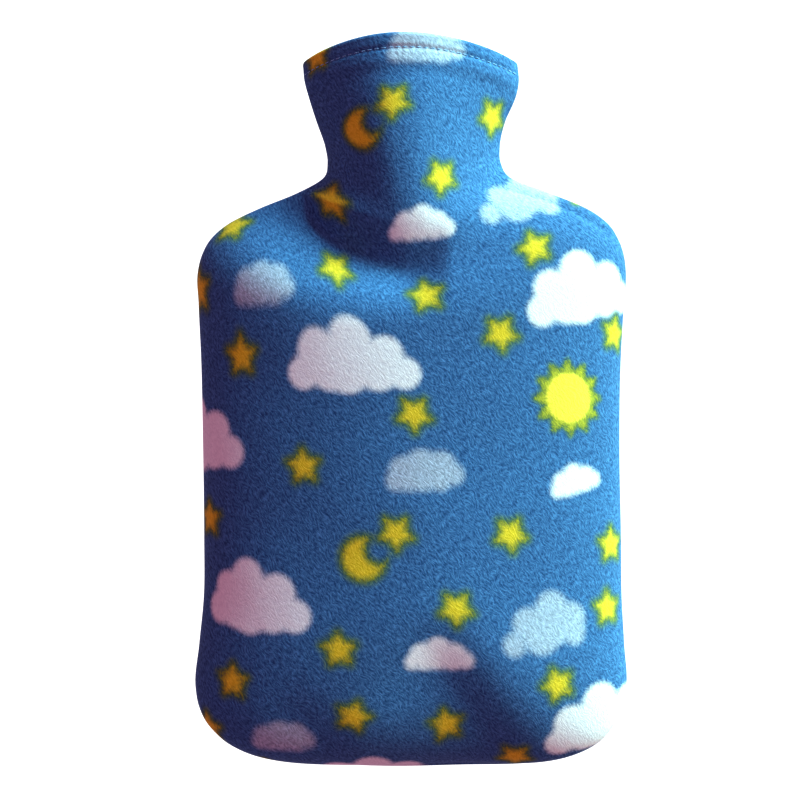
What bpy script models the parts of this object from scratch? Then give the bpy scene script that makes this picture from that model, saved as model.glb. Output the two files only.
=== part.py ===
"""Fleece cover for a two litre hot water bottle, lying on its back in its filled shape.

Metres, +Z up.  X runs across the cover and Y from its closed end to its collar.  The two
panels are hollow shells of one cloth thickness, which meet edge to edge at the side seam.
Constants and tables are in millimetres, and MM turns them to metres.
"""
from collections import namedtuple
from math import cos, exp, hypot, pi, sin, sqrt

import bmesh
import bpy
import numpy as np
from mathutils import Vector

MM = 0.001

# Driving dimensions
CLOTH = 2.0            # thickness of the fleece
SEAM_GAP = 0.3         # between the two panels' edges
SEAM_LIP = 1.0         # straight edge of each panel at the seam
SEAM_HEIGHT = 27.0     # of the side seam above the surface
CROWN = 36.8           # rise of the front above the seam
HEM_LENGTH = 8.0       # cloth turned in past the fold of the collar's hem
HEM_GAP = 0.4          # between the two layers of the hem
HEM_RADIUS = CLOTH + HEM_GAP / 2.0
CORNER_DROP = 12.5     # the closed end's middle lies this far below its corners
CORNER_POWER = 5.4     # how square those corners are
CORNER_REACH = 70.0    # how far up the cloth their curve is felt
ARCH_REACH = 42.0      # how far down the collar the rim's curve is felt
BODY_POWER = 2.3       # front's section: 2 is an ellipse, and more is squarer
NECK_POWER = 1.5       # collar's front section, close to a tent
BLEND = 5.0            # sharpness of the valley between the crown and the collar

# Mesh fineness
COLUMNS = 30
END_ROWS = 8           # over the rounding of the closed end
BODY_ROWS = 36         # from there to the rim
TURN_ROWS = 4          # round the fold of the hem
HEM_ROWS = 2           # along the cloth turned in
RIM_ROW = END_ROWS + BODY_ROWS
LAST_ROW = RIM_ROW + TURN_ROWS + HEM_ROWS

# The two panels: which way each bulges from the seam, the length over which it turns
# down to the seam at the closed end, and the rise of its rim's middle above the ends
Panel = namedtuple("Panel", "name out end_round arch")
FRONT = Panel("front_panel", 1.0, 50.0, 6.2)
BACK = Panel("back_panel", -1.0, 22.0, 2.0)

# Outline of both panels: distance to the seam on each side of the middle, at each height
Width = namedtuple("Width", "up left right")
OUTLINE = [
    Width(12.5, 88.0, 88.5),
    Width(21.0, 96.0, 95.0),
    Width(28.0, 99.2, 98.0),
    Width(36.0, 100.6, 99.4),
    Width(56.0, 98.9, 98.4),
    Width(78.0, 96.8, 97.2),
    Width(105.0, 96.6, 96.9),
    Width(146.0, 97.1, 96.2),
    Width(188.0, 98.0, 96.8),
    Width(214.0, 99.2, 98.3),
    Width(228.0, 99.6, 99.2),
    Width(237.0, 97.3, 98.0),
    Width(244.0, 93.2, 95.4),
    Width(251.0, 84.8, 90.6),
    Width(258.0, 71.2, 81.6),
    Width(265.0, 55.4, 66.0),
    Width(272.0, 43.2, 49.2),
    Width(279.0, 39.6, 41.8),
    Width(286.0, 40.3, 40.7),
    Width(300.0, 45.0, 43.8),
    Width(310.0, 48.2, 48.2),
    Width(318.0, 50.3, 49.7),
    Width(325.0, 51.0, 49.2),
]

# Upper part by height: rise of the collar's ridge above the seam and how far to each side
# it spreads into the body, share of the crown left, and the back's depth below the seam
# (were there no surface to flatten it) and how square its section is
Collar = namedtuple("Collar", "up ridge spread crown depth square")
COLLAR = [
    Collar(180.0, 2.0, 55.0, 1.0, 32.0, 4.0),
    Collar(215.0, 8.0, 55.0, 1.0, 32.0, 4.0),
    Collar(232.0, 13.0, 56.0, 1.0, 30.0, 3.6),
    Collar(248.0, 17.5, 60.0, 1.0, 24.0, 3.0),
    Collar(265.0, 20.5, 76.0, 0.8, 20.5, 2.4),
    Collar(285.0, 22.0, 120.0, 0.0, 19.5, 2.1),
    Collar(310.0, 23.4, 120.0, 0.0, 20.2, 2.0),
    Collar(325.0, 24.0, 120.0, 0.0, 21.2, 2.0),
]

# Valley between the crown and the collar: a V whose arms run out to the shoulders
TIP_X = 4.0
TIP_UP = 235.0
TIP_SOFTNESS = 10.0
ARM_RISE = {"left": 0.42, "right": 0.72}   # of each arm, for a millimetre across
ARM_SPAN = 60.0                            # from the tip to the arms' ends
FALL_AT_TIP = 36.0                         # length over which the crown falls to the V
FALL_AT_ENDS = 20.0
FALL_FLOOR = 0.30                          # share of the crown left at the foot of the fall

# The rows of the mesh dip along the valley: most from the shoulders' tops, and not at all
# from these heights at the side seam
ROW_DIP = 24.0
DIP_POWER = 1.4
DIP_FROM = 150.0
DIP_MOST = 262.0
DIP_TO = 306.0

# Line along which the crown turns down to the shoulders
SHOULDER_UP = 237.0
SHOULDER_RISE = 30.0
SHOULDER_SPAN = 100.0
SHOULDER_FALL = 34.0
SHOULDER_LOSS = 0.88

# Soft troughs in the front, each along a straight line
Trough = namedtuple("Trough", "x0 up0 x1 up1 depth width")
TROUGHS = [
    Trough(8.0, 56.0, 62.0, 8.0, 2.6, 13.0),
    Trough(-62.0, 36.0, -34.0, 8.0, 1.6, 11.0),
]

CENTRE_UP = (OUTLINE[-1].up + FRONT.arch + HEM_RADIUS) / 2.0
CENTRE_X = (max(row.right for row in OUTLINE) - max(row.left for row in OUTLINE)) / 2.0

FLEECE_COLOUR = (0.075, 0.235, 0.455, 1.0)


def follow(rows, column, up):
    """A column's value at a height, on the cubic curve through the table's rows."""
    ups = [row.up for row in rows]
    values = [getattr(row, column) for row in rows]
    slopes = np.gradient(values, ups)
    i = int(min(max(np.searchsorted(ups, up) - 1, 0), len(ups) - 2))
    step = ups[i + 1] - ups[i]
    f = min(max((up - ups[i]) / step, 0.0), 1.0)
    start = (1.0 + 2.0 * f) * values[i] + f * step * slopes[i]
    end = (3.0 - 2.0 * f) * values[i + 1] + (f - 1.0) * step * slopes[i + 1]
    return (1.0 - f) ** 2 * start + f * f * end


def ease(value):
    """Smooth step from 0 to 1."""
    f = min(max(value, 0.0), 1.0)
    return f * f * (3.0 - 2.0 * f)


def rounding(distance, length):
    """Square of a quarter ellipse that rises from 0 at an edge to 1 at a length from it."""
    return 1.0 - (1.0 - min(max(distance / length, 0.0), 1.0)) ** 2


def both(a, b):
    """Two roundings at once, so that the corner between two edges is as full as either."""
    return a * b / (a + b - a * b) if a * b > 0.0 else 0.0


def crown_left(x, up):
    """Square of the share of the crown left between the valley and the shoulders."""
    across = x - TIP_X
    arm = ARM_RISE["right"] if across > 0.0 else ARM_RISE["left"]
    valley_up = TIP_UP + arm * (hypot(across, TIP_SOFTNESS) - TIP_SOFTNESS)
    fall = FALL_AT_TIP + (FALL_AT_ENDS - FALL_AT_TIP) * ease(abs(across) / ARM_SPAN)
    at_valley = FALL_FLOOR + (1.0 - FALL_FLOOR) * ease((valley_up - up) / fall)
    shoulder_up = SHOULDER_UP + SHOULDER_RISE * (1.0 - (abs(x) / SHOULDER_SPAN) ** 3)
    at_shoulder = 1.0 - SHOULDER_LOSS * (1.0 - rounding(shoulder_up - up, SHOULDER_FALL))
    return both(at_valley ** 2, at_shoulder)


def trough_depth(x, up):
    """How far the soft troughs press the front in."""
    depth = 0.0
    for fold in TROUGHS:
        run = Vector((fold.x1 - fold.x0, fold.up1 - fold.up0))
        here = Vector((x - fold.x0, up - fold.up0))
        along = here.dot(run) / run.length_squared
        off = abs(here.cross(run)) / run.length
        ends = ease(1.5 - abs(2.0 * along - 1.0))
        depth += fold.depth * ends * exp(-(off / fold.width) ** 2)
    return depth


def front_rise(s, x, up, end_up):
    """Rise of the front above the seam; s is -1 and 1 at the seam."""
    section = 1.0 - abs(s) ** BODY_POWER
    body = both(both(section, rounding(end_up, FRONT.end_round)), crown_left(x, up))
    crown = CROWN * follow(COLLAR, "crown", up) * sqrt(body)
    tent = follow(COLLAR, "ridge", up) * sqrt(1.0 - abs(s) ** NECK_POWER)
    tent *= exp(-(x / follow(COLLAR, "spread", up)) ** 4)
    return (crown ** BLEND + tent ** BLEND) ** (1.0 / BLEND) - trough_depth(x, up) * sqrt(section)


def back_drop(s, up, end_up):
    """Drop of the back below the seam, before the surface flattens it."""
    section = 1.0 - abs(s) ** follow(COLLAR, "square", up)
    return follow(COLLAR, "depth", up) * sqrt(both(section, rounding(end_up, BACK.end_round)))


def cloth_point(panel, angle, side_up):
    """Outer face of a panel: angle runs from seam to seam, side_up along the side seam."""
    s = sin(angle)
    left = follow(OUTLINE, "left", side_up)
    right = follow(OUTLINE, "right", side_up)
    x = (right - left) / 2.0 + s * (right + left) / 2.0
    drop = CORNER_DROP * (1.0 - ease((side_up - OUTLINE[0].up) / CORNER_REACH))
    arch = panel.arch * ease(1.0 - (OUTLINE[-1].up - side_up) / ARCH_REACH)
    end_up = side_up - drop
    dip = ROW_DIP * min(ease((side_up - DIP_FROM) / (DIP_MOST - DIP_FROM)),
                        ease((DIP_TO - side_up) / (DIP_TO - DIP_MOST)))
    up = end_up + drop * abs(s) ** CORNER_POWER + arch * (1.0 - s * s)
    up -= dip * (1.0 - abs(s) ** DIP_POWER)
    if panel is FRONT:
        z = SEAM_HEIGHT + SEAM_GAP / 2.0 + SEAM_LIP + front_rise(s, x, up, end_up)
    else:
        z = max(SEAM_HEIGHT - SEAM_GAP / 2.0 - SEAM_LIP - back_drop(s, up, end_up), 0.0)
    return Vector((x - CENTRE_X, up - CENTRE_UP, z))


def hem_point(panel, angle, turn, run):
    """Outer face of the hem: turned over by an angle, and then run back down inside."""
    rim = OUTLINE[-1].up
    step = 0.001
    here = cloth_point(panel, angle, rim)
    onward = (here - cloth_point(panel, angle, rim - 1.0)).normalized()
    before = cloth_point(panel, max(angle - step, -pi / 2.0), rim)
    after = cloth_point(panel, min(angle + step, pi / 2.0), rim)
    outward = panel.out * (after - before).normalized().cross(onward)
    ahead = HEM_RADIUS * sin(turn) - run
    return here + onward * ahead - outward * HEM_RADIUS * (1.0 - cos(turn))


def row_heights():
    """Heights at the side seam of the rows: close at the closed end, then evenly spaced."""
    first = OUTLINE[0].up
    last = OUTLINE[-1].up
    end = [first + FRONT.end_round * (1.0 - cos(pi / 2.0 * i / END_ROWS)) for i in range(END_ROWS)]
    ups = np.linspace(first + FRONT.end_round, last, 400)
    halves = [(follow(OUTLINE, "left", up) + follow(OUTLINE, "right", up)) / 2.0 for up in ups]
    lengths = np.append(0.0, np.cumsum(np.hypot(np.diff(ups), np.diff(halves))))
    body = np.interp(np.linspace(0.0, lengths[-1], BODY_ROWS + 1), lengths, ups)
    return end + list(body)


def fleece():
    material = bpy.data.materials.new("printed_fleece")
    material.use_nodes = True
    shader = material.node_tree.nodes["Principled BSDF"]
    shader.inputs["Base Color"].default_value = FLEECE_COLOUR
    shader.inputs["Roughness"].default_value = 0.95
    shader.inputs["Metallic"].default_value = 0.0
    return material


def shape_grid(mesh, panel):
    """Moves a flat grid's points to the panel, and the rows past its rim into the hem."""
    heights = row_heights()
    for point in mesh.verts:
        angle = point.co.x * pi / 2.0
        row = round((point.co.y + 1.0) / 2.0 * LAST_ROW)
        past = row - RIM_ROW
        if past <= 0:
            place = cloth_point(panel, angle, heights[row])
        else:
            turn = pi * min(past, TURN_ROWS) / TURN_ROWS
            run = HEM_LENGTH * max(past - TURN_ROWS, 0) / HEM_ROWS
            place = hem_point(panel, angle, turn, run)
        point.co = place * MM


def make_panel(panel, material):
    mesh = bmesh.new()
    bmesh.ops.create_grid(mesh, x_segments=COLUMNS, y_segments=LAST_ROW, size=1.0)
    hem_end = [edge for edge in mesh.edges if min(point.co.y for point in edge.verts) > 0.9999]
    shape_grid(mesh, panel)
    seam = [edge for edge in mesh.edges if edge.is_boundary and edge not in hem_end]
    lip = bmesh.ops.extrude_edge_only(mesh, edges=seam)["geom"]
    for point in lip:
        if isinstance(point, bmesh.types.BMVert):
            point.co.z = (SEAM_HEIGHT + panel.out * SEAM_GAP / 2.0) * MM
    if panel is BACK:
        bmesh.ops.reverse_faces(mesh, faces=mesh.faces)
    data = bpy.data.meshes.new(panel.name)
    mesh.to_mesh(data)
    mesh.free()
    data.shade_smooth()
    data.materials.append(material)
    cover = bpy.data.objects.new(panel.name, data)
    bpy.context.scene.collection.objects.link(cover)
    cloth = cover.modifiers.new("cloth", "SOLIDIFY")
    cloth.thickness = CLOTH * MM
    cloth.offset = -1.0


def main():
    for old in list(bpy.data.objects):
        bpy.data.objects.remove(old)
    material = fleece()
    for panel in (FRONT, BACK):
        make_panel(panel, material)


main()
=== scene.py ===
"""Fleece cover of a hot water bottle, printed with clouds and stars, lying on its back.

Blender's units are metres.  Constants and tables are in millimetres, unless their comment
says otherwise, and MM turns them to metres.
"""
from collections import namedtuple
from math import cos, hypot, pi, radians, sin, tau

import bmesh
import bpy
import numpy as np
from mathutils import Matrix, Vector


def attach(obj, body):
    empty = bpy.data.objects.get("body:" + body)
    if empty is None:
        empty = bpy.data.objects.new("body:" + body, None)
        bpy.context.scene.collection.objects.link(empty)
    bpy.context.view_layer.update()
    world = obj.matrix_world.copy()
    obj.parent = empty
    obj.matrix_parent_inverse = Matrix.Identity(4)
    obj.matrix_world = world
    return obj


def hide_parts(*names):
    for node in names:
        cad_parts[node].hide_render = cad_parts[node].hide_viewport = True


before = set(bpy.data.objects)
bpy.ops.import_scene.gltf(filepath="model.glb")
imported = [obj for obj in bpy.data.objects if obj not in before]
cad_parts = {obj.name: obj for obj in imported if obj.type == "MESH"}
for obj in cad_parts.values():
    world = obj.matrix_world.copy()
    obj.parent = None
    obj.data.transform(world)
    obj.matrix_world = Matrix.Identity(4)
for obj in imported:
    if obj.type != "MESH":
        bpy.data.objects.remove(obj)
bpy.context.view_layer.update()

MM = 0.001
SMALLEST = 1e-9          # keeps a division away from zero

# Cloth and seams
CLOTH = 1.7              # thickness of the fleece
SEAM_HEIGHT = 27.0       # of the side seam above the surface
SEAM_GAP = 0.3           # between the two panels' edges
SEAM_ROUND = 2.6         # radius on which each panel turns in to the seam
SEAM_STEPS = 3           # of that turn
SEAM_ALLOWANCE = 2.6     # cloth past that turn
RIM_ALLOWANCE = 0.08     # share of both that is left at the rim, where the cloth is double
RIM_FADE = 16.0          # below the rim, over which they shorten
RIM_POWER = 8.0          # how near the seam the two panels close up there
HEM_RADIUS = 2.2         # half the thickness of the hem, which folds round it
HEM_LENGTH = 8.0         # cloth turned in past the fold of the hem
HEM_LEVEL_REACH = 7.0    # from the side seam, over which the fold turns upright to meet the other
STITCH_LINE = 5.2        # of the hem's sewing, below the rim
STITCH_PITCH = 3.2
STITCH_LENGTH = 2.5
STITCH_RISE = 0.25       # of a stitch out of the cloth, as a share of the thread's thickness
THREAD = 0.55            # thickness of the sewing thread
PINCH = 0.12             # of the hem's inner layer by its sewing
PINCH_WIDTH = 1.2

# Puckers by the hem's sewing: how far the cloth rises, how far below the stitches and how wide,
# and the share of the rise that swings with them
Pucker = namedtuple("Pucker", "rise below width beat")
PUCKERS = [
    Pucker(-0.45, 0.0, 1.0, -0.18),
    Pucker(0.30, 2.0, 1.1, 0.3),
    Pucker(0.22, -2.2, 1.5, 0.0),
    Pucker(0.50, 5.0, 3.2, 0.0),
    Pucker(-0.35, 12.0, 4.5, 0.0),
]
PUCKER_FADE = 9.0        # from the side seam, over which they come up

# The filled shape, which is close to the solids' own
CROWN = 36.8             # rise of the front above the seam
CROWN_LIFT = 1.0         # of its top above that
CORNER_DROP = 12.5       # the closed end's middle lies this far below its corners
CORNER_POWER = 5.4       # how square those corners are
CORNER_REACH = 70.0      # up the sides, over which the rows straighten out from there
ARCH_REACH = 42.0        # below the rim, over which the rows come to arch as it does
BODY_POWER_LEFT = 2.1    # how full the crown's section is to each side
BODY_POWER_RIGHT = 1.72
BLEND = 7.0              # power on which the crown runs into the neck's ridge

# out is 1 for the panel that faces up and -1 for the other, end_round is the length in which
# the closed end rounds out, and arch is how far the rim's middle stands past its sides.  Then
# come the grid's columns and its rows: in the closed end, their spacing up the body, by the
# rim, in the hem's fold and in its inner layer
Panel = namedtuple("Panel", "name out end_round arch columns end_rows spacing hem_rows turn_rows in_rows")
FRONT = Panel("front_panel", 1.0, 62.0, 7.0, 168, 34, 1.75, 30, 10, 8)
BACK = Panel("back_panel", -1.0, 22.0, 2.0, 120, 24, 2.6, 20, 8, 6)
HEM_ZONE = 16.0          # below the rim, in which the rows lie close
CURVE_POINTS = 1200      # by which the side seam is measured
COLUMN_EVENING = 0.22    # spreads the columns near the seams, and closes them in the middle
LEAD_ROWS = 3            # last rows of the face, which give the hem its way on
REST_FADE = 3.0          # above the surface, over which the back's unevenness comes up

# Half widths of the cover, by height up the side seam from the closed end's lowest point
Width = namedtuple("Width", "up left right")
OUTLINE = [
    Width(12.5, 88.0, 88.5),
    Width(21.0, 96.0, 95.0),
    Width(28.0, 99.2, 98.0),
    Width(36.0, 100.6, 99.4),
    Width(56.0, 98.9, 98.4),
    Width(78.0, 96.8, 97.2),
    Width(105.0, 96.6, 96.9),
    Width(146.0, 97.1, 96.2),
    Width(188.0, 98.0, 96.8),
    Width(214.0, 99.2, 98.3),
    Width(228.0, 99.6, 99.2),
    Width(237.0, 97.3, 98.0),
    Width(244.0, 93.2, 95.4),
    Width(251.0, 84.8, 90.6),
    Width(258.0, 70.5, 80.5),
    Width(265.0, 53.4, 63.6),
    Width(272.0, 41.4, 46.0),
    Width(279.0, 39.4, 41.2),
    Width(286.0, 40.3, 40.7),
    Width(300.0, 45.0, 43.8),
    Width(310.0, 48.2, 48.2),
    Width(318.0, 50.3, 49.7),
    Width(325.0, 51.0, 49.2),
]

# By height: the neck's ridge above the seam and its place across, the share of the crown, and
# how deep below the seam and how square the back is
Collar = namedtuple("Collar", "up ridge ridge_x crown depth square")
COLLAR = [
    Collar(180.0, 6.0, 10.0, 1.0, 32.0, 4.0),
    Collar(215.0, 19.0, 6.0, 1.0, 32.0, 4.0),
    Collar(232.0, 25.5, 3.0, 1.0, 30.0, 3.6),
    Collar(248.0, 29.5, 0.0, 1.0, 24.0, 3.0),
    Collar(265.0, 30.5, -4.0, 0.8, 20.5, 2.4),
    Collar(285.0, 30.5, -7.0, 0.0, 19.5, 2.1),
    Collar(310.0, 27.6, -7.0, 0.0, 20.2, 2.0),
    Collar(325.0, 25.2, -7.0, 0.0, 21.2, 2.0),
]
RIDGE_REACH_LEFT = 48.0  # from the ridge's crest to its foot
RIDGE_REACH_RIGHT = 58.0
RIDGE_SOFTNESS = 19.0    # of its crest
RIDGE_POWER = 1.16       # how full its sides are
RIDGE_ROUND_LEFT = 0.75  # how steeply they end
RIDGE_ROUND_RIGHT = 0.82

# Valley between the crown and the collar, and the line of the shoulders
TIP_X = 6.0              # the valley's tip, which points to the closed end
TIP_UP = 242.0
TIP_SOFTNESS = 10.0
ARM_RISE_LEFT = 0.34     # slope of the valley's arms, from its tip out to each side
ARM_RISE_RIGHT = 0.40
ARM_SPAN = 60.0
FALL_AT_TIP = 44.0       # length over which the crown falls to the valley
FALL_AT_ENDS = 60.0
FALL_FLOOR = 0.16        # share of the crown left at the valley's floor
FLOOR_RISE = 0.51        # of the valley's floor, across its tip to the right
FLOOR_FROM = -15.0
FLOOR_SPAN = 27.0
ROW_DIP = 24.0           # of the rows' middles, so that the grid follows the valley
DIP_POWER = 1.4
DIP_FROM = 150.0         # heights at which the dip starts, is deepest and ends
DIP_MOST = 262.0
DIP_TO = 306.0
SHOULDER_UP = 237.0      # height of the shoulders' line at the sides
SHOULDER_RISE = 30.0     # of that line to its middle
SHOULDER_SPAN = 100.0
SHOULDER_POWER = 3
SHOULDER_FALL = 28.0     # length over which the crown falls to that line
SHOULDER_LOSS = 0.88     # share of the crown's square that is gone past it

# Soft troughs in the front, from one point to another
Trough = namedtuple("Trough", "x0 up0 x1 up1 depth width_left width_right")
TROUGHS = [
    Trough(2.0, 60.0, 40.0, 0.0, 6.0, 30.0, 17.0),
    Trough(-62.0, 36.0, -34.0, 8.0, 1.2, 11.0, 11.0),
]
TROUGH_ENDS = 1.5        # where they have run out, in half lengths from their middle

# The middle of the cover, which lies at the frame's origin
CENTRE_UP = (OUTLINE[-1].up + FRONT.arch + HEM_RADIUS) / 2.0
CENTRE_X = (max(row.right for row in OUTLINE) - max(row.left for row in OUTLINE)) / 2.0

# Unevenness of the filled cloth: soft waves, by wavelength, direction in degrees and height
Wave = namedtuple("Wave", "length turn phase height")
WAVES = [
    Wave(83.0, 20.0, 0.4, 0.22),
    Wave(57.0, 75.0, 2.1, 0.12),
    Wave(41.0, -40.0, 4.0, 0.08),
    Wave(29.0, 118.0, 1.3, 0.04),
]
WAVE_RISE = 0.6          # how far a wave moves on with each millimetre of height
WAVE_FADE = 14.0         # from the side seam and the rim, over which the waves come up
WAVE_END_FADE = 12.0     # from the closed end

# The print.  One repeat of the cloth, in millimetres from the middle of the closed end; turn is
# in degrees clockwise
REPEAT_ACROSS = 240.0
REPEAT_UP = 194.5
Motif = namedtuple("Motif", "kind across up turn size", defaults=(0.0, 1.0))
PRINT = [
    Motif("broad cloud", -18.3, 2.2),
    Motif("star", -70.4, 1.8),
    Motif("star", 106.0, 14.6, 10.0),
    Motif("star", 47.4, 13.6, 31.0),
    Motif("star", -94.0, 26.4),
    Motif("pale cloud", -58.0, 27.0, 0.0, 0.82),
    Motif("star", 15.6, 31.5, -10.0),
    Motif("broad cloud", 87.9, 34.2, -9.0),
    Motif("star", -25.6, 37.8, 20.0),
    Motif("star", 65.4, 52.0, -20.0),
    Motif("star", -79.0, 51.6),
    Motif("small cloud", 12.6, 66.2),
    Motif("star", -30.0, 68.8, -3.0),
    Motif("slanting cloud", 61.0, 79.2),
    Motif("star", 93.8, 84.0),
    Motif("star", 21.4, 86.8, 36.0),
    Motif("tall cloud", -67.2, 90.2),
    Motif("moon", -18.0, 109.0),
    Motif("star", 98.0, 112.6),
    Motif("star", 47.2, 119.4, 32.0),
    Motif("star", -3.2, 120.4, 36.0),
    Motif("star", -94.0, 123.4),
    Motif("small cloud", 79.0, 143.3, -12.0, 0.86),
    Motif("pale cloud", 10.4, 148.0),
    Motif("star", -43.0, 149.0, -4.0),
    Motif("tall cloud", -97.0, 161.6),
    Motif("star", 7.4, 172.4, 36.0),
    Motif("sun", 78.3, 179.6),
]

# The print leans a little off the cut: how far it lies to the left by each height of a panel
Lean = namedtuple("Lean", "up left")
LEAN = [
    Lean(0.0, 0.0),
    Lean(120.0, 5.5),
    Lean(240.0, 12.5),
    Lean(265.0, 9.5),
    Lean(285.0, 7.4),
    Lean(350.0, 3.5),
]

# The filled cloth pulls the print with it: towards the collar at the left shoulder, towards the
# closed end in its middle, and to the left at the neck's left foot
SHOULDER_PULL = 12.5
SHOULDER_PULL_LEFT = 15.0    # to the left of the middle, where it starts
SHOULDER_PULL_SPAN = 35.0
SHOULDER_PULL_UP = 185.0     # height at which it starts
SHOULDER_PULL_RISE = 75.0
SHOULDER_PULL_TOP = 320.0    # height at which it has ended
SHOULDER_PULL_FADE = 30.0
END_PULL = 6.0
END_PULL_ACROSS = -18.0
END_PULL_WIDTH = 34.0
END_PULL_TOP = 30.0          # height at which it has ended
END_PULL_FADE = 17.0
NECK_PULL = 7.0
NECK_PULL_ACROSS = -54.0
NECK_PULL_WIDTH = 17.0
NECK_PULL_UP = 284.0
NECK_PULL_HEIGHT = 16.0

Lobe = namedtuple("Lobe", "across up radius")
CLOUDS = {
    "broad cloud": [
        Lobe(-0.6, 7.8, 8.8), Lobe(-15.7, 1.5, 8.4), Lobe(-22.6, -7.4, 6.6), Lobe(14.4, 2.2, 7.8),
        Lobe(22.5, -6.3, 6.9), Lobe(-2.5, -6.6, 8.8), Lobe(-1.0, -1.0, 12.0), Lobe(-10.5, -6.0, 8.4),
        Lobe(11.0, -5.5, 8.6),
    ],
    "tall cloud": [
        Lobe(-4.7, 9.6, 7.2), Lobe(-14.4, 2.9, 7.4), Lobe(9.8, 2.6, 8.2), Lobe(-19.4, -6.4, 7.0),
        Lobe(18.0, -7.2, 7.2), Lobe(-3.5, -8.2, 8.4), Lobe(-2.7, 0.0, 10.5), Lobe(7.5, -6.5, 8.6),
        Lobe(-10.5, -6.5, 8.0),
    ],
    "small cloud": [
        Lobe(0.3, 2.2, 5.4), Lobe(-7.4, 0.0, 4.7), Lobe(-11.3, -4.1, 3.1), Lobe(7.4, 0.0, 4.7),
        Lobe(12.0, -2.9, 3.6), Lobe(0.0, -2.2, 5.2), Lobe(-5.6, -3.6, 4.0), Lobe(6.2, -3.2, 4.2),
    ],
    "pale cloud": [
        Lobe(-0.7, 1.8, 6.9), Lobe(-8.8, -0.4, 6.0), Lobe(-12.8, -5.1, 3.6), Lobe(7.8, 1.8, 6.0),
        Lobe(13.2, -1.9, 3.9), Lobe(-0.7, -2.6, 6.1), Lobe(-7.0, -4.4, 4.4), Lobe(6.6, -3.6, 5.0),
    ],
    "slanting cloud": [
        Lobe(3.7, 7.3, 7.0), Lobe(12.8, 2.2, 6.5), Lobe(-8.1, 0.7, 6.5), Lobe(-14.9, -8.8, 4.8),
        Lobe(13.8, -4.8, 4.8), Lobe(-2.2, -5.1, 8.0), Lobe(3.0, 0.5, 9.5),
    ],
}
PALE = ("pale cloud", "slanting cloud")
PRINT_COLOURS = ("white_clouds", "pale_clouds", "yellow", "rays", "discs")
LOBE_SOFTNESS = 0.9      # with which the lobes of a cloud run together
STAR_ARMS = 5
STAR_RADIUS = 8.9
STAR_WAIST = 0.58        # inner radius of a star as a share of its outer one
STAR_TIP = 0.6           # how far its tips are blunted
SUN_RADIUS = 11.0
RAY_RADIUS = 17.6
RAY_WAIST = 0.72
RAYS = 12
MOON_RADIUS = 9.9
MOON_BITE = 6.2
MOON_BITE_ACROSS = 7.2
MOON_BITE_UP = 4.0

FRONT_SHIFT = (0.0, 0.0)   # where each panel was cut from the printed cloth
BACK_SHIFT = (96.0, 61.0)
MOST_DEPTH = 12.0        # inside or outside a motif, past which the depth isn't followed

UV_SPAN = 500.0          # millimetres of cloth from 0 to 1 in the UV map
UV_START = (0.5, 0.05)   # of the middle of the closed end
RELAX_ROUNDS = ((8, 1500), (3, 500), (1, 60))   # rows and columns apart, and how often
RELAX_STEP = 0.18        # share of each misfit that is put right at a time
RELAX_KEEP = 0.9         # share of its speed that a point keeps

# Dyes, as sRGB.  Where a dye has a deep and a light colour, the deep one is painted shade in the hollows of
# the pile, of the reverse's nap and of the thread's twist, and the deep blue also darkens the clumps at
# random
BLUE_DEEP = "3C5B85"
BLUE_LIGHT = "6593C2"
WHITE_DEEP = "E8E6EB"
WHITE_LIGHT = "F7F6F8"
OLIVE_DEEP = "4B6B5B"
OLIVE = "7F8F3C"
RAY_DEEP = "A3A445"
RAY_YELLOW = "CABD4B"
YELLOW_DEEP = "DDC03A"
YELLOW = "F0D34E"
SUN_YELLOW = "FADF62"
SHEEN = "C9DDF2"
REVERSE_DEEP = "4C7FAE"
REVERSE_LIGHT = "8FB3D2"
THREAD_DEEP = "5F92BF"
THREAD_LIGHT = "A6C8E6"

# The dyes, each over the last, on the blue and its pale clouds: how far each runs past its
# motifs' outlines, how softly it ends, and its colours between the pile's tufts, darker there as painted
# shade, and on them
Dye = namedtuple("Dye", "motifs spread soft deep light")
DYES = [
    Dye("white_clouds", 0.2, 2.0, WHITE_DEEP, WHITE_LIGHT),
    Dye("rays", 0.9, 1.6, OLIVE_DEEP, OLIVE),
    Dye("rays", -0.7, 1.6, RAY_DEEP, RAY_YELLOW),
    Dye("yellow", 1.6, 2.4, OLIVE_DEEP, OLIVE),
    Dye("yellow", -1.2, 2.2, YELLOW_DEEP, YELLOW),
    Dye("discs", 0.2, 1.0, YELLOW, SUN_YELLOW),
]
HAZE_SPREAD = 0.4        # of the pale clouds past their outlines
HAZE_SOFT = 2.4
HAZE_LOW = 0.36          # share of white in them, less between the tufts as painted shade, and more on them
HAZE_HIGH = 0.54
DUSK = 0.22              # share of the deep blue that the clumps add

# The pile, as noise of this length and width, turned by this many degrees.  Real fibres are
# about 0.02 mm thick, so they are drawn far coarser, to show at all
Pile = namedtuple("Pile", "length width turn detail")
TUFTS = Pile(2.1, 0.88, -52.0, 2.0)
FIBRES = Pile(1.2, 0.42, -44.0, 2.0)
CLUMPS = Pile(5.5, 4.0, -30.0, 2.0)
PATCHES = Pile(26.0, 20.0, 15.0, 1.0)
PILE_ROUGHNESS = 0.55    # of the noise
TUFT_SHARE = 0.65        # of the pile's pattern, with the fibres as the rest
PILE_LOW = 0.34          # values of that pattern, which also sets the bump's height, at which the dye is deepest, as painted shade in the hollows, and lightest, on the tufts
PILE_HIGH = 0.66
CLUMP_LOW = 0.35
CLUMP_HIGH = 0.65
DRIFT = 3.2              # by which the lie of the pile wanders
DRIFT_LENGTH = 7.0       # over which it does
FUZZ = 2.2               # width in which the pile breaks up a motif's edge
PILE_RELIEF = 0.20       # height of the pile's tufts
CLUMP_RELIEF = 0.5       # height of the clumps and patches, as shares of that
PATCH_RELIEF = 1.2
NAP = 1.6                # grain of the inner face's nap
NAP_RELIEF = 0.4
TWIST = 2.2              # pitch of the thread's twist, drawn coarser than a real one of 0.5 mm

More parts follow.
